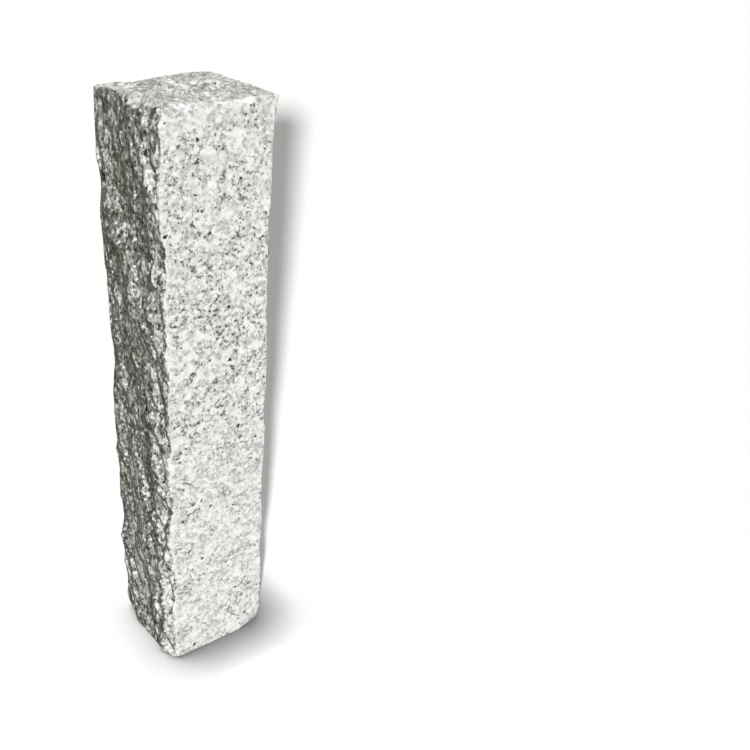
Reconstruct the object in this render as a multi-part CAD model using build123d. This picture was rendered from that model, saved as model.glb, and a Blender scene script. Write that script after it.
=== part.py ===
"""Granite palisade: a square post split and hewn from grey granite, standing upright on its foot.

Millimetres. +Z runs from the foot to the head, the front face looks along -Y and the left face along -X.
The origin is under the middle of the post, on the plane that it stands on.
"""

import math
import os

from build123d import *

# Driving dimensions
LENGTH = 500.0  # foot to the right edge of the head
WIDTH = 98.0  # left face to right face
DEPTH = 97.0  # front face to back face
FACE_WAVE = 3.0  # how far a face wanders off its nominal plane
FACE_BOW = 3.0  # how far the middle of a rough face stands out past its two edges
ARRIS = 2.5  # flat worn along each long edge
HEAD_FALL = 3.0  # drop of the head from its right edge to its left edge

# Overlapping hollows that break the two rough-split faces, left and right, into tilted facets
HOLLOW_REACH = 60.0
HOLLOW_DEPTH = 1.8
HOLLOW_TILT = 6.0  # degrees
HOLLOWS_EACH = 28
HOLLOW_SIZE_SHARES = (0.6, 1.4)  # smallest and largest
HOLLOW_PLACE_SHARES = (0.20, 0.80)  # nearest to one edge of the face and to the other

# Flake scars, the deeper round hollows that a pitching chisel leaves along an edge
SCAR_REACH = 50.0
SCAR_DEPTH = 4.0

# Corners knocked off the ends, each with two breaks, one low and wide and one tall and narrow: the long
# reach of a break along the edges from the corner, and the short reach as a share of it
END_CORNER = 12.0
CORNER_SHARE = 0.5
# Large chip at the front-left of the head: along the front face, along the left face and down the edge
CHIP_ACROSS = 7.0
CHIP_BACK = 34.0
CHIP_DOWN = 28.0
# Broad low break at the back-left of the head, measured the same way
SLUMP_ACROSS = 60.0
SLUMP_BACK = 45.0
SLUMP_DOWN = 6.0

# The faces at even steps from the foot to the head: how far the front, right, back and left faces stand out
# there in shares of FACE_WAVE. The foot is slimmer than the head, which flares to the right.
FACE_SHARES = (
    (-0.25, -0.70, -1.15, -0.30),
    (-0.10, -0.50, -1.10, -0.10),
    (-0.20, -0.65, -1.00, -0.05),
    (-0.10, -0.40, -0.65, 0.15),
    (0.00, -0.35, -0.45, 0.10),
    (0.20, -0.40, -0.55, -0.15),
    (0.15, -0.45, -0.60, 0.00),
    (-0.05, -0.45, -0.30, 0.20),
    (0.10, -0.20, 0.10, 0.40),
    (0.25, 0.00, 0.45, 0.40),
    (0.70, 1.40, 0.00, 0.30),
)
# Bow of the front, right, back and left faces in shares of FACE_BOW
FACE_BOW_SHARES = (0.2, 0.6, 0.2, 1.0)
# Worn flat of the front-left, front-right, back-right and back-left edges in shares of ARRIS
ARRIS_SHARES = (0.8, 1.0, 1.4, 1.2)

# Scars down the long edges, in the same order as the edges. Each is a share of LENGTH, a share of the full
# scar, and the turn of the blow in degrees from one face of the edge (0) round to the next (90).
EDGE_SCAR_SHARES = (
    (
        (0.03, 0.70, 14), (0.085, 0.50, 24), (0.165, 1.10, 10), (0.215, 0.70, 17), (0.265, 0.45, 22),
        (0.335, 1.05, 12), (0.375, 0.50, 4), (0.46, 0.85, 14), (0.50, 0.55, 12), (0.565, 0.95, 13),
        (0.64, 0.60, 20), (0.675, 1.00, 11), (0.755, 1.40, 10), (0.79, 0.60, 20), (0.93, 1.10, 12),
    ),
    (
        (0.07, 0.60, 75), (0.18, 0.80, 84), (0.34, 0.60, 78),
        (0.47, 0.85, 85), (0.65, 0.50, 80), (0.80, 0.75, 82),
    ),
    (
        (0.05, 0.95, 12), (0.13, 0.50, 25), (0.19, 0.70, 18), (0.30, 1.15, 8), (0.37, 0.45, 22),
        (0.44, 0.75, 16), (0.58, 1.10, 8), (0.66, 0.55, 20), (0.75, 0.85, 14), (0.87, 0.60, 18),
    ),
    (
        (0.08, 0.70, 74), (0.22, 0.90, 84), (0.30, 0.45, 70), (0.38, 0.60, 76),
        (0.54, 0.85, 83), (0.62, 0.40, 68), (0.68, 0.55, 72), (0.84, 0.80, 80),
    ),
)
# Corners knocked off the foot and the head, in the same order, in shares of END_CORNER. The large chip takes
# the head's front-left corner instead.
FOOT_CORNER_SHARES = (0.5, 1.4, 0.9, 1.5)
HEAD_CORNER_SHARES = (0.0, 0.4, 0.6, 0.4)


def corners_at(level_share):
    """The four corners of the section where the faces would meet, at a level between foot and head."""
    steps = len(FACE_SHARES) - 1
    step = min(int(level_share * steps), steps - 1)
    mix = level_share * steps - step
    below, above = FACE_SHARES[step], FACE_SHARES[step + 1]
    front, right, back, left = [FACE_WAVE * (a + (b - a) * mix) for a, b in zip(below, above)]
    z = LENGTH * level_share
    return [
        Vector(-WIDTH / 2 - left, -DEPTH / 2 - front, z),
        Vector(WIDTH / 2 + right, -DEPTH / 2 - front, z),
        Vector(WIDTH / 2 + right, DEPTH / 2 + back, z),
        Vector(-WIDTH / 2 - left, DEPTH / 2 + back, z),
    ]


def section(level_share):
    """One level of the post: four bowed sides joined by the worn flats of the edges."""
    corners = corners_at(level_share)
    sides = []
    for i, bow_share in enumerate(FACE_BOW_SHARES):
        corner, following = corners[i], corners[(i + 1) % 4]
        run = (following - corner).normalized()
        start = corner + run * ARRIS * ARRIS_SHARES[i]
        end = following - run * ARRIS * ARRIS_SHARES[(i + 1) % 4]
        middle = (start + end) / 2 + run.cross(Vector(0, 0, 1)) * FACE_BOW * bow_share
        sides.append((start, middle, end))
    edges = []
    for i, (start, middle, end) in enumerate(sides):
        edges.append(Spline(start, middle, end))
        edges.append(Line(end, sides[(i + 1) % 4][0]))
    return make_face(edges)


def scoop(point, bearing, rise, reach, depth):
    """A ball that takes a shallow round hollow out of the stone, with its seam turned away from the cut."""
    radius = reach * reach / (8 * depth) + depth / 2
    outward = Vector(1, 0, 0).rotate(Axis.Y, -rise).rotate(Axis.Z, bearing)
    upward = Vector(0, 0, 1).rotate(Axis.Y, -rise).rotate(Axis.Z, bearing)
    return Plane(origin=point + outward * (radius - depth), x_dir=outward, z_dir=upward) * Sphere(radius)


def between(limits, step):
    """A value between two limits that jumps about as its step grows, and never repeats."""
    low, high = limits
    return low + (high - low) * (step % 1)


def face_hollows(face):
    """Hollows scattered down one rough face; place, size and tilt each step by an irrational share."""
    golden, silver, bronze = (math.sqrt(5) - 1) / 2, math.sqrt(2) - 1, (math.sqrt(13) - 3) / 2
    tilts = (-HOLLOW_TILT, HOLLOW_TILT)
    outward = Vector(1, 0, 0).rotate(Axis.Z, 90 * face - 90)
    for i in range(HOLLOWS_EACH):
        corners = corners_at((i + 0.5) / HOLLOWS_EACH)
        start, end = corners[face], corners[(face + 1) % 4]
        place_share = between(HOLLOW_PLACE_SHARES, i * golden)
        lean_share = 1 - 2 * place_share  # 1 at the first edge of the face, -1 at the second
        bow = FACE_BOW * FACE_BOW_SHARES[face]
        point = start + (end - start) * place_share + outward * bow * (1 - lean_share * lean_share)
        size_share = between(HOLLOW_SIZE_SHARES, i * silver)
        lean = math.degrees(math.atan(4 * bow * lean_share / (end - start).length))
        bearing = 90 * face - 90 - lean + between(tilts, i * bronze)
        rise = between(tilts, i * golden * silver)
        yield scoop(point, bearing, rise, HOLLOW_REACH * size_share, HOLLOW_DEPTH * size_share)


def edge_scars(edge):
    """The scars down one long edge, each struck from somewhere between its two faces."""
    for level_share, size_share, turn in EDGE_SCAR_SHARES[edge]:
        point = corners_at(level_share)[edge]
        yield scoop(point, 180 + 90 * edge + turn, 0, SCAR_REACH * size_share, SCAR_DEPTH * size_share)


def knock_off(stone, corner, across, back, down):
    """Take a corner off an end of the post with one flat break that meets its three edges."""
    tips = [corner + Vector(across, 0, 0), corner + Vector(0, back, 0), corner + Vector(0, 0, down)]
    normal = (tips[1] - tips[0]).cross(tips[2] - tips[0])
    if normal.dot(corner - tips[0]) < 0:
        normal = normal * -1
    return split(stone, bisect_by=Plane(origin=tips[0], z_dir=normal), keep=Keep.BOTTOM)


def main():
    steps = len(FACE_SHARES) - 1
    stone = loft([section(step / steps) for step in range(steps + 1)])
    head = Plane(origin=(WIDTH / 2, 0, LENGTH), z_dir=(-HEAD_FALL, 0, WIDTH))
    stone = split(stone, bisect_by=head, keep=Keep.BOTTOM)

    for face in (1, 3):
        for hollow in face_hollows(face):
            stone -= hollow
    for edge in range(4):
        for scar in edge_scars(edge):
            stone -= scar

    for level, up, shares in ((0, 1, FOOT_CORNER_SHARES), (1, -1, HEAD_CORNER_SHARES)):
        for corner, share in zip(corners_at(level), shares):
            if share:
                across, back = math.copysign(END_CORNER, -corner.X), math.copysign(END_CORNER, -corner.Y)
                for wide, tall in ((share, share * CORNER_SHARE), (share * CORNER_SHARE, share)):
                    stone = knock_off(stone, corner, across * wide, back * wide, up * END_CORNER * tall)
    head_corners = corners_at(1)
    stone = knock_off(stone, head_corners[0], CHIP_ACROSS, CHIP_BACK, -CHIP_DOWN)
    stone = knock_off(stone, head_corners[3], SLUMP_ACROSS, -SLUMP_BACK, -SLUMP_DOWN)

    box = stone.bounding_box()
    stone = Pos(-box.center().X, -box.center().Y, -box.min.Z) * stone
    os.makedirs("parts", exist_ok=True)
    export_step(stone, "parts/palisade.step")


main()
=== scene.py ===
"""Granite palisade: one split and hewn granite post, upright on a white studio floor. Metres."""

import math

import bmesh
import bpy
import numpy as np
from mathutils import Matrix, Vector, noise


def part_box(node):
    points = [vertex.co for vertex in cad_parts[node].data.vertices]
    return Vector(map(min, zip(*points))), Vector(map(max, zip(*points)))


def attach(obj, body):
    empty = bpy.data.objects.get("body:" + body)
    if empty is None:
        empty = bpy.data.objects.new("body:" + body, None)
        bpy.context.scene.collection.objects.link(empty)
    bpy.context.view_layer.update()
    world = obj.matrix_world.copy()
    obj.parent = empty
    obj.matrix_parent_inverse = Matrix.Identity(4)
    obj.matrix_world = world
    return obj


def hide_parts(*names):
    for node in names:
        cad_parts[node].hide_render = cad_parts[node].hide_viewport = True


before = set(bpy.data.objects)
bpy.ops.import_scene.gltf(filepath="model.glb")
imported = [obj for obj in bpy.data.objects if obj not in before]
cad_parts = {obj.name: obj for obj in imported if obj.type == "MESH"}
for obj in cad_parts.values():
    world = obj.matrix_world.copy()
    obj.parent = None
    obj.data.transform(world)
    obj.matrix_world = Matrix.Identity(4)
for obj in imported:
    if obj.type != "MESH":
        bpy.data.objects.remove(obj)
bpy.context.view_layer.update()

MM = 0.001

# The post: its length, and half of its nominal width and depth
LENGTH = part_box("palisade")[1][2]
HALF_WIDTH = 49 * MM
HALF_DEPTH = 48.5 * MM
MESH_STEP = 1.56 * MM  # of the even mesh that carries the relief

# How far a normal has to look sideways, upwards or past an edge for its point to start to count as split
# face, head or long edge, and to count fully. The front and the back have one limit.
SPLIT_FACING = (0.30, 0.75)
HEAD_FACING = (0.35, 0.80)
ARRIS_FACING = (0.25, 0.60)
FRONT_FACING = 0.5

# Rounded places: the head's front edge, short of its right corner, and the foot's corners. The foot's
# front-left corner is crisper. Each has its rounds of smoothing.
ROUND_HEAD_ABOVE = LENGTH - 16 * MM
ROUND_HEAD_FRONT = -34 * MM
ROUND_HEAD_RIGHT = 30 * MM
ROUND_HEAD_TIMES = 14
ROUND_FOOT_BELOW = 36 * MM
ROUND_FOOT_OFF_MIDDLE = 22 * MM
ROUND_FOOT_TIMES = 30
CRISP_FOOT_TIMES = 5
ROUND_SHARE = 0.5  # of the way to its neighbours that a point goes in a round

# Split relief of the left and right faces: facets of several sizes, each with its steepest slope. They lie
# along a line that runs down and to the front.
SPLIT_FACETS = ((26 * MM, 0.13), (11 * MM, 0.20), (5 * MM, 0.15))
LEAN = math.radians(14)
STRETCH = 2.1
FACET_BLEND = 0.18  # width of the join between two facets, in shares of their size
WARP = 0.30  # how crooked the facets are, in shares of their size
WARP_RATE = 1.9  # how quickly their crookedness changes from place to place
WARP_APART = Vector((17.3, 5.1, 0.0))  # keeps the bends across and along from being alike
TIP_SPREAD = 37.3  # takes the middle of each facet to a random draw of its own

# Hewn belts where the split faces meet the front and the back: slips that fall towards the edge. They are
# full along the front-left edge, weaker near the head, and wider and steeper in a zone above the foot.
# Painted light makes the belts paler, the more so in that zone, and makes the split faces in that zone paler
# too.
BELT_WIDTH = 26 * MM
BELT_RISE = 0.4  # share of its width in which a belt comes in
BELT_FACETS = (11 * MM, 0.22)
BELT_FALL = 0.34
BELT_SHARE = 0.3  # of the belts along the other edges
BELT_PAINTED_LIGHT = 0.7
BELT_HEAD_LOSS = 0.6
BELT_HEAD_ZONE = (LENGTH - 80 * MM, LENGTH - 30 * MM)
LOW_ZONE_TOP = (150 * MM, 60 * MM)
LOW_ZONE_FOOT = (6 * MM, 40 * MM)
LOW_WIDER = 0.6
LOW_STEEPER = 0.5
LOW_BELT_PAINTED_LIGHT = 0.8
LOW_PAINTED_LIGHT = 0.5

# Relief near an edge: the share that is left on it, and how far it is felt on both its faces. The foot's edge
# is felt further, because the height above it counts for less.
EDGE_SHARE = 0.2
EDGE_REACH = 9 * MM
FOOT_HEIGHT_SHARE = 0.5

# Head: its facets and its slow swell
HEAD_FACETS = ((18 * MM, 0.27), (7 * MM, 0.13))
HEAD_WAVE_SIZE = 34 * MM
HEAD_WAVE_HEIGHT = 6.5 * MM
HEAD_WAVE_PLACE = (-12.85, 42.09, 13.23)  # where in the noise the swell is cut out
# Low part of the head's back edge
SLUMP_MIDDLE = -18 * MM
SLUMP_HALF_LENGTH = 40 * MM
SLUMP_INWARD = 38 * MM
SLUMP_DEPTH = 3 * MM
SLUMP_ZONE = (LENGTH - 30 * MM, LENGTH - 6 * MM)
# Chips along the head's left edge
CHIP_LENGTH = 13 * MM
CHIP_ROW = 0.5  # the middle of one row of the noise's cells
CHIP_DEPTH = 6 * MM
CHIP_REACH = 4 * MM
CHIP_REACH_GAIN = 12 * MM  # what the deepest chip reaches further
CHIP_ENDS = 12 * MM  # how far the front and the back hold the chips off
CHIP_ZONE = (LENGTH - 18 * MM, LENGTH - 4 * MM)

# What the material reads from the mesh: the head counts as split in part, for its bump and its painted shade.
# The attribute named worn holds painted light on the belts and above the foot, and the paler long edges above
# the foot and rims of the front and the back
HEAD_SPLIT_SHARE = 0.43
ARRIS_ZONE = (4 * MM, 16 * MM)
RIM_ZONE = (6 * MM, 1 * MM)

# Camera, set from the photograph's perspective
CAMERA_PLACE = (-0.3595, -0.6334, 0.6295)
CAMERA_YAW = 0.7346
CAMERA_PITCH = 0.4646
CAMERA_ROLL = 0.0802
CAMERA_LENS = 45.02
CAMERA_SENSOR = 36

# Lamps for the stone alone and for the floor alone: where each shines from, its level and how wide it is in
# degrees. At level 1.0 a face that looks at the lamp shows its colour as it is written.
STONE_LAMPS = {
    "key": ((-0.21, -0.78, 0.58), 1.13, 7),
    "back": ((0.66, 0.74, 0.10), 0.60, 7),
    "fill": ((-0.75, -0.35, 0.55), 0.045, 60),
}
FLOOR_LAMPS = {
    "floor_lamp": ((-0.589, -0.782, 0.205), 4.2, 2.5),
    "top_lamp": ((-0.05, 0.055, 1.0), 0.40, 8),
}
WHITE_LIGHT = (1.0, 1.0, 1.0, 1.0)
SKY_LEVEL = 0.03
SKY_TINT = (1.0, 1.0, 0.5, 1.0)

# Floor: what the camera sees of it, what it gives back to the stone, and the soft shade around the foot
FLOOR_HALF_SIDE = 30.0
FLOOR_COLOUR = (0.75, 0.75, 0.75)
FLOOR_GLOW = 0.035
FLOOR_BOUNCE = (0.15, 0.15, 0.12, 1.0)
CONTACT_REACH = 45 * MM
CONTACT_SHADE = 0.22
CONTACT_FULL = 0.35  # openness at which the shade is full
CONTACT_LEAN = (-0.40, 0.40, 0.82)  # where the floor looks for the stone: darker at its front and right
CONTACT_SAMPLES = 12


def smooth_step(low, high, value):
    """0 up to low, 1 from high on, smooth between; high may be the smaller one."""
    t = np.clip((value - low) / (high - low), 0, 1)
    return t * t * (3 - 2 * t)


# Stone

def dense_copy(node):
    """An evenly meshed copy of a CAD node, fine enough to carry the relief."""
    stone = bpy.data.objects.new("granite_post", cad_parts[node].data.copy())
    bpy.context.scene.collection.objects.link(stone)
    remesh = stone.modifiers.new("even_mesh", "REMESH")
    remesh.mode = "VOXEL"
    remesh.voxel_size = MESH_STEP
    mesh = bpy.data.meshes.new_from_object(stone.evaluated_get(bpy.context.evaluated_depsgraph_get()))
    stone.modifiers.clear()
    stone.data = mesh
    return stone


def read_points(mesh, field="co"):
    values = np.zeros(len(mesh.vertices) * 3, np.float32)
    mesh.vertices.foreach_get(field, values)
    return values.reshape(-1, 3).astype(float)


def write_points(mesh, points):
    mesh.vertices.foreach_set("co", points.astype(np.float32).ravel())
    mesh.update()


def store(mesh, name, values):
    mesh.attributes.new(name, "FLOAT", "POINT").data.foreach_set("value", values.astype(np.float32))


def wear_down(mesh, chosen, times):
    """Round off the chosen part of the mesh, as edges and corners that were knocked about."""
    work = bmesh.new()
    work.from_mesh(mesh)
    work.verts.ensure_lookup_table()
    worn = [work.verts[i] for i in np.flatnonzero(chosen)]
    every_way = {"use_axis_x": True, "use_axis_y": True, "use_axis_z": True}
    for _ in range(times):
        bmesh.ops.smooth_vert(work, verts=worn, factor=ROUND_SHARE, **every_way)
    work.to_mesh(mesh)
    work.free()
    mesh.update()


def wear_edges(mesh):
    """The head's front edge and the foot's corners are rounder than the rest."""
    x, y, z = read_points(mesh).T
    head_front = (z > ROUND_HEAD_ABOVE) & (y < ROUND_HEAD_FRONT) & (x < ROUND_HEAD_RIGHT)
    foot_corners = (z < ROUND_FOOT_BELOW) & (np.minimum(np.abs(x), np.abs(y)) > ROUND_FOOT_OFF_MIDDLE)
    crisp = (x < 0) & (y < 0)
    wear_down(mesh, head_front, ROUND_HEAD_TIMES)
    wear_down(mesh, foot_corners & ~crisp, ROUND_FOOT_TIMES)
    wear_down(mesh, foot_corners & crisp, CRISP_FOOT_TIMES)


def lean_frame(points):
    """Across and along the lean of the facets, for places on a split face."""
    y, z = points[:, 1], points[:, 2]
    return y * math.cos(LEAN) - z * math.sin(LEAN), y * math.sin(LEAN) + z * math.cos(LEAN)


def facets(places, size, slope, fall=0.0):
    """Height of a flat face broken into facets about size across, each tipped its own way and by the fall."""
    falls = np.broadcast_to(fall, len(places))
    heights = np.empty(len(places))
    for i, (place, fall_here) in enumerate(zip(places / size, falls)):
        place = Vector(place)
        bend = place * WARP_RATE
        place += WARP * Vector((noise.noise(bend), noise.noise(bend + WARP_APART), 0))
        gaps, middles = noise.voronoi(place)
        sides = []
        for middle in middles[:2]:
            tip = noise.cell_vector(middle * TIP_SPREAD)
            run = place - middle
            lean = (2 * tip.x - 1) * slope + 2 * tip.z * fall_here
            sides.append(lean * run.x + (2 * tip.y - 1) * slope * run.y)
        share = 0.5 * max(0.0, 1 - (gaps[1] - gaps[0]) / FACET_BLEND)
        heights[i] = sides[0] + (sides[1] - sides[0]) * share
    return heights * size


def side_relief(points, normals):
    """Move the split faces in and out, and the front's and back's rims with them; return where light is
    painted on.
    """
    x, y, z = points.T
    nx, ny = np.abs(normals[:, 0]), np.abs(normals[:, 1])
    rough = smooth_step(*SPLIT_FACING, nx)
    rim = np.clip(1 - (HALF_WIDTH - np.abs(x)) / EDGE_REACH, 0, 1) * (ny > FRONT_FACING)
    across, along = lean_frame(points)
    places = np.stack([across, along / STRETCH, np.sign(x)], axis=1)
    height = sum(facets(places, size, slope) for size, slope in SPLIT_FACETS)

    inset = HALF_DEPTH - np.abs(y)
    front_left = (x < 0) & (y < 0)
    low = smooth_step(*LOW_ZONE_TOP, z) * smooth_step(*LOW_ZONE_FOOT, z)
    belt = smooth_step(0, BELT_RISE, 1 - inset / (BELT_WIDTH * (1 + LOW_WIDER * low)))
    belt *= np.where(front_left, 1, BELT_SHARE)
    belt *= 1 - BELT_HEAD_LOSS * smooth_step(*BELT_HEAD_ZONE, z)
    fall = -np.sign(y) * BELT_FALL * (1 + LOW_STEEPER * low)
    height += belt * facets(places, *BELT_FACETS, fall)

    kept = np.where(front_left, EDGE_SHARE, 0)
    height *= kept + (1 - kept) * smooth_step(0, EDGE_REACH, np.minimum(inset, FOOT_HEIGHT_SHARE * z))
    points[:, 0] += np.sign(x) * np.maximum(rough, rim) * height
    # Painted light: the belts paler, the more so above the foot, and the split faces above the foot paler too
    return rough * np.maximum(belt * (BELT_PAINTED_LIGHT + LOW_BELT_PAINTED_LIGHT * low), LOW_PAINTED_LIGHT * low)


def head_chips(x, y, z):
    """How far the head's left edge drops: stretches of it are chipped, each to its own depth and reach."""
    chips = np.array([noise.cell(Vector((place, CHIP_ROW, CHIP_ROW))) for place in y / CHIP_LENGTH])
    inward = np.clip(1 - (HALF_WIDTH + x) / (CHIP_REACH_GAIN * np.abs(chips) + CHIP_REACH), 0, 1)
    drop = CHIP_DEPTH * np.clip(chips, 0, 1) * inward * smooth_step(*CHIP_ZONE, z)
    return drop * smooth_step(0, CHIP_ENDS, HALF_DEPTH - np.abs(y))


def head_slump(x, y, z):
    """How far the head's back edge is let down."""
    along = smooth_step(SLUMP_HALF_LENGTH, 0, np.abs(x - SLUMP_MIDDLE))
    inward = smooth_step(SLUMP_INWARD, 0, HALF_DEPTH - y)
    return SLUMP_DEPTH * along * inward * smooth_step(*SLUMP_ZONE, z)


def head_relief(points, normals):
    """Swell and break the head, let its back edge down and drop chips off its left edge."""
    x, y, z = points.T
    head = smooth_step(*HEAD_FACING, normals[:, 2])
    places = np.stack([x, y, np.zeros(len(x))], axis=1)
    height = sum(facets(places, size, slope) for size, slope in HEAD_FACETS)
    swell = [noise.noise(Vector(place)) for place in places / HEAD_WAVE_SIZE + HEAD_WAVE_PLACE]
    height += HEAD_WAVE_HEIGHT * np.array(swell)
    inset = np.minimum(HALF_WIDTH - np.abs(x), HALF_DEPTH - np.abs(y))
    height *= EDGE_SHARE + (1 - EDGE_SHARE) * smooth_step(0, EDGE_REACH, inset)
    points[:, 2] += head * height - head_chips(x, y, z) - head_slump(x, y, z)


def split_relief(mesh):
    """Break up the split faces and the head, and store which parts are split and which are worn."""
    points, normals = read_points(mesh), read_points(mesh, "normal")
    head_relief(points, normals)
    painted_light = side_relief(points, normals)
    write_points(mesh, points)
    x, _, z = points.T
    nx, ny, nz = np.abs(normals.T)
    head = HEAD_SPLIT_SHARE * smooth_step(*HEAD_FACING, nz)
    store(mesh, "split", np.maximum(smooth_step(*SPLIT_FACING, nx), head))
    rim = smooth_step(*RIM_ZONE, HALF_WIDTH - np.abs(x)) * (ny > FRONT_FACING)
    arris = smooth_step(*ARRIS_FACING, np.minimum(nx, ny)) * smooth_step(*ARRIS_ZONE, z)
    store(mesh, "worn", np.maximum.reduce([arris, rim, painted_light]))


# Materials

class Graph:
    """A short way to write the nodes of a material or a world."""

    def __init__(self, owner):
        owner.use_nodes = True
        self.tree = owner.node_tree
        self.tree.nodes.clear()

    def feed(self, socket, value):
        if isinstance(value, bpy.types.NodeSocket):
            self.tree.links.new(value, socket)
        else:
            socket.default_value = value

    def add(self, kind, inputs=None, **settings):
        made = self.tree.nodes.new("ShaderNode" + kind)
        for key, value in settings.items():
            setattr(made, key, value)
        for key, value in (inputs or {}).items():
            self.feed(made.inputs[key], value)
        return made

    def math(self, operation, first, second=0.5, third=0.5):
        return self.add("Math", {0: first, 1: second, 2: third}, operation=operation).outputs[0]

    def vector(self, operation, first, second=(0, 0, 0)):
        return self.add("VectorMath", {0: first, 1: second}, operation=operation).outputs["Vector"]

    def scaled(self, vector, size):
        return self.add("VectorMath", {0: vector, "Scale": size}, operation="SCALE").outputs["Vector"]

    def shifted(self, vector, colour, reach):
        """A place or direction moved by a random colour, up to half the reach each way."""
        move = self.vector("SUBTRACT", colour, (0.5, 0.5, 0.5))
        return self.vector("ADD", vector, self.scaled(move, reach))

    def noise(self, place, size, detail, roughness=0.5):
        """The outputs of a noise with swells of about this size."""
        settings = {"Vector": place, "Scale": 1 / size, "Detail": detail, "Roughness": roughness}
        return self.add("TexNoise", settings).outputs

    def cells(self, place, size):
        """The outputs of cells of about this size, each with a random colour."""
        return self.add("TexVoronoi", {"Vector": place, "Scale": 1 / size}).outputs

    def pick(self, cells):
        """A random number for each cell."""
        return self.add("SeparateColor", {"Color": cells["Color"]}).outputs[0]

    def fade(self, value, start, end):
        """0 up to start, 1 from end on, smooth between; end may be the smaller one."""
        limits = {"Value": value, "From Min": start, "From Max": end}
        return self.add("MapRange", limits, interpolation_type="SMOOTHSTEP").outputs["Result"]

    def ramp(self, value, stops):
        made = self.add("ValToRGB", {"Fac": value})
        band = made.color_ramp.elements
        while len(band) < len(stops):
            band.new(1.0)
        for stop, (place, colour) in zip(band, stops):
            stop.position, stop.color = place, colour
        return made.outputs["Color"]

    def mix(self, share, first, second):
        made = self.add("Mix", {"Factor": share}, data_type="RGBA")
        self.feed(made.inputs[6], first)
        self.feed(made.inputs[7], second)
        return made.outputs[2]


def grey(level, tint=(1.0, 1.0, 1.0)):
    """A linear colour from a screen level of 0 to 255 and a slight tint."""
    linear = ((level / 255 + 0.055) / 1.055) ** 2.4
    return (*(linear * t for t in tint), 1.0)


TINT = (0.972, 1.0, 0.985)
WHITE = grey(250, (0.985, 1.0, 0.985))

# How ragged the outlines of all grains are. This noise and the others each have the size of their swells, the
# detail in them and, where it isn't a half, the roughness of that detail.
JITTER_NOISE = (1.7 * MM, 1.0)
JITTER = 1.8 * MM

# Grains: a grain's own draw and the patch that it lies in set its grey. Quartz and white clouds lie between.
GRAIN_SIZE = 2.7 * MM
GRAIN_START = 0.18
GRAIN_SHARE = 0.60
GRAIN_GREYS = ((0.05, 250), (0.27, 244), (0.46, 230), (0.62, 212), (0.80, 186), (1.0, 155))
PATCH_NOISE = (7 * MM, 4.0, 0.7)
PATCH_SHARE = 1.3
QUARTZ = grey(176, TINT)
QUARTZ_NOISE = (4.4 * MM, 3.0, 0.65)
QUARTZ_FADE = (0.55, 0.65)
QUARTZ_SHARE = 0.75
CLOUD_NOISE = (9 * MM, 1.0)
CLOUD_FADE = (0.58, 0.70)
CLOUD_SHARE = 0.65

# Dark marks: they lie in clusters outside the clouds, densest between the middle of the post and its head
MARK = grey(72, TINT)
MARK_NOISE = (3 * MM, 3.0, 0.65)
MARK_FADE = (0.61, 0.78)
CLUSTER_NOISE = (22 * MM, 1.0)
CLUSTER_FADE = (0.39, 0.67)
CLUSTER_SHARE = 0.12
DENSE_FOOT = (100 * MM, 340 * MM)
DENSE_HEAD = (LENGTH, LENGTH - 100 * MM)
DENSE_SHARE = 0.13

# Split stone: painted shade darkens it and tints it olive, more on some crystals than on others and in long
# zones that run down. Some crystals are glossy, with a painted glint. Where light is painted on, and along
# the long edges and the rims, the stone is paler and has less painted shade.
SPLIT_SHADE_COLOUR = grey(126, (1.0, 0.99, 0.72))
CRYSTAL_SIZE = 2.3 * MM
CRYSTAL_SHADE_FADE = (0.35, 0.65)
CRYSTAL_GLOSS_AND_PAINTED_GLINT = (0.25, 0.15)
SHADE_START = 0.08
CRYSTAL_SHADE_SHARE = 0.5
SHADE_ZONE_NOISE = (26 * MM, 1.0)
SHADE_ZONE_FADE = (0.42, 0.62)
SHADE_ZONE_SHARE = 0.30
PALE_AND_PAINTED_LIGHT_SHARE = 0.5
PALE_LESS_SHADE = -0.6  # what wear does to the dullness
# what painted light and the paler edges and rims do to the painted shade
GLINT_PAINT_SHARE = 0.9
DOWNWARD = (1.0, 1.0, 0.6)  # stretches what runs down the post

# Black flakes: one to a cell, some too small to show; radius and soft rim in shares of a cell
BIOTITE = grey(50, (1.0, 1.0, 0.95))
FLAKE_CELL = 9 * MM
FLAKE_JITTER = 2.4 * MM
FLAKE_FADE = (0.44, 1.0)
FLAKE_RADIUS = 0.20
FLAKE_RIM = 0.05

# Surface: crystal faces of several sizes and how far each is tipped, a fine bump, and the share of both that
# dressed faces keep
CRYSTAL_TIPS = ((4.5 * MM, 0.7), (2.2 * MM, 1.3), (1.3 * MM, 0.7))
DRESSED_SHARE = 0.1
BUMP_NOISE = (1.8 * MM, 2.0)
BUMP_HEIGHT = 0.4 * MM
ROUGHNESS = 0.8
GLOSS_SMOOTH = -0.4  # what gloss does to the roughness
SPECULAR = 0.25


def grains(g, ragged, clouds):
    """Pale grains of many greys, with quartz and white clouds."""
    depth = g.math("MULTIPLY_ADD", g.pick(g.cells(ragged, GRAIN_SIZE)), GRAIN_SHARE, GRAIN_START)
    patches = g.math("SUBTRACT", g.noise(ragged, *PATCH_NOISE)["Fac"], 0.5)
    depth = g.math("MULTIPLY_ADD", patches, PATCH_SHARE, depth)
    colour = g.ramp(depth, [(at, grey(level, TINT)) for at, level in GRAIN_GREYS])
    quartz = g.fade(g.noise(ragged, *QUARTZ_NOISE)["Fac"], *QUARTZ_FADE)
    colour = g.mix(g.math("MULTIPLY", quartz, QUARTZ_SHARE), colour, QUARTZ)
    return g.mix(g.math("MULTIPLY", clouds, CLOUD_SHARE), colour, WHITE)


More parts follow.
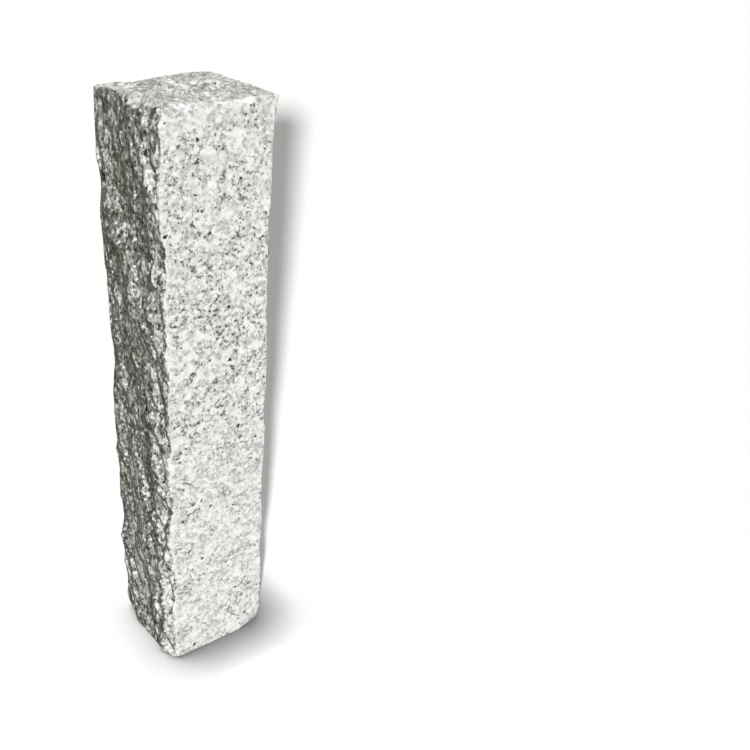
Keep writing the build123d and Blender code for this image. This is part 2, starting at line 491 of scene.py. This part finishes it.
def dark_marks(g, place, ragged, clouds):
    """Where the dark marks are."""
    level = g.add("SeparateXYZ", {"Vector": place}).outputs["Z"]
    dense = g.math("MULTIPLY", g.fade(level, *DENSE_FOOT), g.fade(level, *DENSE_HEAD))
    drift = g.math("MULTIPLY_ADD", dense, DENSE_SHARE, g.noise(place, *CLUSTER_NOISE)["Fac"])
    clusters = g.math("MULTIPLY", g.fade(drift, *CLUSTER_FADE), g.math("SUBTRACT", 1.0, clouds))
    marks = g.noise(ragged, *MARK_NOISE)["Fac"]
    return g.fade(g.math("MULTIPLY_ADD", clusters, CLUSTER_SHARE, marks), *MARK_FADE)


def painted_shade(g, place, crystal, split, worn):
    """How much painted shade each crystal of split stone gets, in long zones too, less where light is painted
    on and along the paler edges and rims.
    """
    shade_zones = g.noise(g.vector("MULTIPLY", place, DOWNWARD), *SHADE_ZONE_NOISE)["Fac"]
    shade_zones = g.math("MULTIPLY_ADD", g.fade(shade_zones, *SHADE_ZONE_FADE), SHADE_ZONE_SHARE, SHADE_START)
    split_shade = g.math("MULTIPLY_ADD", g.fade(crystal, *CRYSTAL_SHADE_FADE), CRYSTAL_SHADE_SHARE, shade_zones)
    return g.math("MULTIPLY", split_shade, g.math("MULTIPLY_ADD", worn, PALE_LESS_SHADE, split))


def black_flakes(g, torn):
    """Where the black flakes are."""
    cells = g.cells(torn, FLAKE_CELL)
    radius = g.math("MULTIPLY", g.fade(g.pick(cells), *FLAKE_FADE), FLAKE_RADIUS)
    return g.fade(g.math("SUBTRACT", radius, cells["Distance"]), 0.0, FLAKE_RIM)


def crystal_faces(g, place, ragged, split):
    """The direction of each small crystal face, with a fine bump over all."""
    normal = g.add("NewGeometry").outputs["Normal"]
    strength = g.math("MULTIPLY_ADD", split, 1 - DRESSED_SHARE, DRESSED_SHARE)
    for size, tip in CRYSTAL_TIPS:
        cells = g.cells(g.vector("MULTIPLY", ragged, DOWNWARD), size)
        normal = g.shifted(normal, cells["Color"], g.math("MULTIPLY", strength, tip))
    normal = g.vector("NORMALIZE", normal)
    height = g.math("MULTIPLY", g.noise(place, *BUMP_NOISE)["Fac"], BUMP_HEIGHT)
    bump = {"Height": height, "Strength": strength, "Distance": 1.0, "Normal": normal}
    return g.add("Bump", bump).outputs["Normal"]


def granite():
    """Pale on the dressed faces; where the stone is split, painted shade, and gloss with a painted glint;
    white with painted light on the belts and above the foot, and paler along the long edges and the rims.
    """
    material = bpy.data.materials.new("granite")
    g = Graph(material)
    place = g.add("TexCoord").outputs["Object"]
    split = g.add("Attribute", attribute_name="split").outputs["Fac"]
    # The attribute named worn holds painted light on the belts and above the foot, and the paler long edges
    # and rims
    worn = g.add("Attribute", attribute_name="worn").outputs["Fac"]
    jitter = g.noise(place, *JITTER_NOISE)["Color"]
    ragged = g.shifted(place, jitter, JITTER)
    torn = g.shifted(ragged, jitter, FLAKE_JITTER)
    crystal = g.pick(g.cells(ragged, CRYSTAL_SIZE))
    clouds = g.fade(g.noise(ragged, *CLOUD_NOISE)["Fac"], *CLOUD_FADE)
    gloss = g.math("MULTIPLY", g.fade(crystal, *CRYSTAL_GLOSS_AND_PAINTED_GLINT), split)

    colour = grains(g, ragged, clouds)
    colour = g.mix(dark_marks(g, place, ragged, clouds), colour, MARK)
    # Painted light on the belts and above the foot, and paler long edges and rims
    colour = g.mix(g.math("MULTIPLY", worn, PALE_AND_PAINTED_LIGHT_SHARE), colour, WHITE)
    # Painted shade on split stone, tinted olive
    colour = g.mix(painted_shade(g, place, crystal, split, worn), colour, SPLIT_SHADE_COLOUR)
    # Painted glint on the glossy crystals
    colour = g.mix(g.math("MULTIPLY", gloss, GLINT_PAINT_SHARE), colour, WHITE)
    colour = g.mix(black_flakes(g, torn), colour, BIOTITE)

    shader = g.add("BsdfPrincipled", {
        "Base Color": colour,
        "Roughness": g.math("MULTIPLY_ADD", gloss, GLOSS_SMOOTH, ROUGHNESS),
        "Specular IOR Level": SPECULAR,
        "Normal": crystal_faces(g, place, ragged, split),
    })
    g.add("OutputMaterial", {"Surface": shader.outputs[0]})
    return material


def seen(g):
    """1 for rays that show what they meet: from the camera, off glossy surfaces and through glass."""
    path = g.add("LightPath").outputs
    passed_on = g.math("MAXIMUM", path["Is Glossy Ray"], path["Is Transmission Ray"])
    return g.math("MAXIMUM", path["Is Camera Ray"], passed_on)


def floor_paint():
    """White where it is seen, with the shadow and a soft shade around the foot; quiet to other light."""
    material = bpy.data.materials.new("floor_paint")
    g = Graph(material)
    look = {"Distance": CONTACT_REACH, "Normal": g.vector("NORMALIZE", CONTACT_LEAN)}
    openness = g.add("AmbientOcclusion", look, samples=CONTACT_SAMPLES).outputs["AO"]
    shade = {"Value": openness, "From Min": CONTACT_FULL, "To Min": CONTACT_SHADE}
    colour = g.scaled(FLOOR_COLOUR, g.add("MapRange", shade).outputs["Result"])
    lit = g.add("BsdfDiffuse", {"Color": colour}).outputs[0]
    glow = g.add("Emission", {"Color": WHITE_LIGHT, "Strength": FLOOR_GLOW}).outputs[0]
    white = g.add("AddShader", {0: lit, 1: glow}).outputs[0]
    quiet = g.add("BsdfDiffuse", {"Color": FLOOR_BOUNCE}).outputs[0]
    g.add("OutputMaterial", {"Surface": g.add("MixShader", {0: seen(g), 1: quiet, 2: white}).outputs[0]})
    return material


# Studio

def make_floor():
    corners = [(-1, -1), (1, -1), (1, 1), (-1, 1)]
    mesh = bpy.data.meshes.new("studio_floor")
    mesh.from_pydata([(FLOOR_HALF_SIDE * x, FLOOR_HALF_SIDE * y, 0) for x, y in corners], [], [(0, 1, 2, 3)])
    mesh.materials.append(floor_paint())
    floor = bpy.data.objects.new("studio_floor", mesh)
    bpy.context.scene.collection.objects.link(floor)
    return floor


def sun(name, place, level, degrees, receiver):
    """A far lamp that lights one object alone, so that stone and floor each get the light they need."""
    lamp = bpy.data.objects.new(name, bpy.data.lights.new(name, "SUN"))
    lamp.data.energy = level * math.pi
    lamp.data.angle = math.radians(degrees)
    lamp.rotation_euler = Vector(place).to_track_quat("Z", "Y").to_euler()
    bpy.context.scene.collection.objects.link(lamp)
    lamp.light_linking.receiver_collection = bpy.data.collections.new(name + "_lights")
    lamp.light_linking.receiver_collection.objects.link(receiver)


def make_sky():
    """White where it is seen; dim and warm to other light."""
    world = bpy.data.worlds.new("sky")
    g = Graph(world)
    dim = g.add("Background", {"Color": SKY_TINT, "Strength": SKY_LEVEL}).outputs[0]
    white = g.add("Background", {"Color": WHITE_LIGHT}).outputs[0]
    g.add("OutputWorld", {"Surface": g.add("MixShader", {0: seen(g), 1: dim, 2: white}).outputs[0]})
    bpy.context.scene.world = world


def make_light(stone, floor):
    for receiver, lamps in ((stone, STONE_LAMPS), (floor, FLOOR_LAMPS)):
        for name, (place, level, degrees) in lamps.items():
            sun(name, place, level, degrees, receiver)
    make_sky()


def make_camera():
    yaw, pitch, roll = CAMERA_YAW, CAMERA_PITCH, CAMERA_ROLL
    ahead = Vector((math.sin(yaw) * math.cos(pitch), math.cos(yaw) * math.cos(pitch), -math.sin(pitch)))
    level = Vector((math.cos(yaw), -math.sin(yaw), 0))
    up = level.cross(ahead)
    right = level * math.cos(roll) + up * math.sin(roll)
    up = up * math.cos(roll) - level * math.sin(roll)
    camera = bpy.data.objects.new("camera", bpy.data.cameras.new("camera"))
    camera.data.sensor_width = CAMERA_SENSOR
    camera.data.lens = CAMERA_LENS
    turn = Matrix((right, up, -ahead)).transposed().to_4x4()
    camera.matrix_world = Matrix.Translation(CAMERA_PLACE) @ turn
    bpy.context.scene.collection.objects.link(camera)
    bpy.context.scene.camera = camera


stone = dense_copy("palisade")
wear_edges(stone.data)
split_relief(stone.data)
stone.data.materials.clear()
stone.data.materials.append(granite())
stone.data.shade_smooth()
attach(stone, "root")
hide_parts("palisade")

make_light(stone, make_floor())
make_camera()
bpy.context.scene.view_settings.view_transform = "Standard"
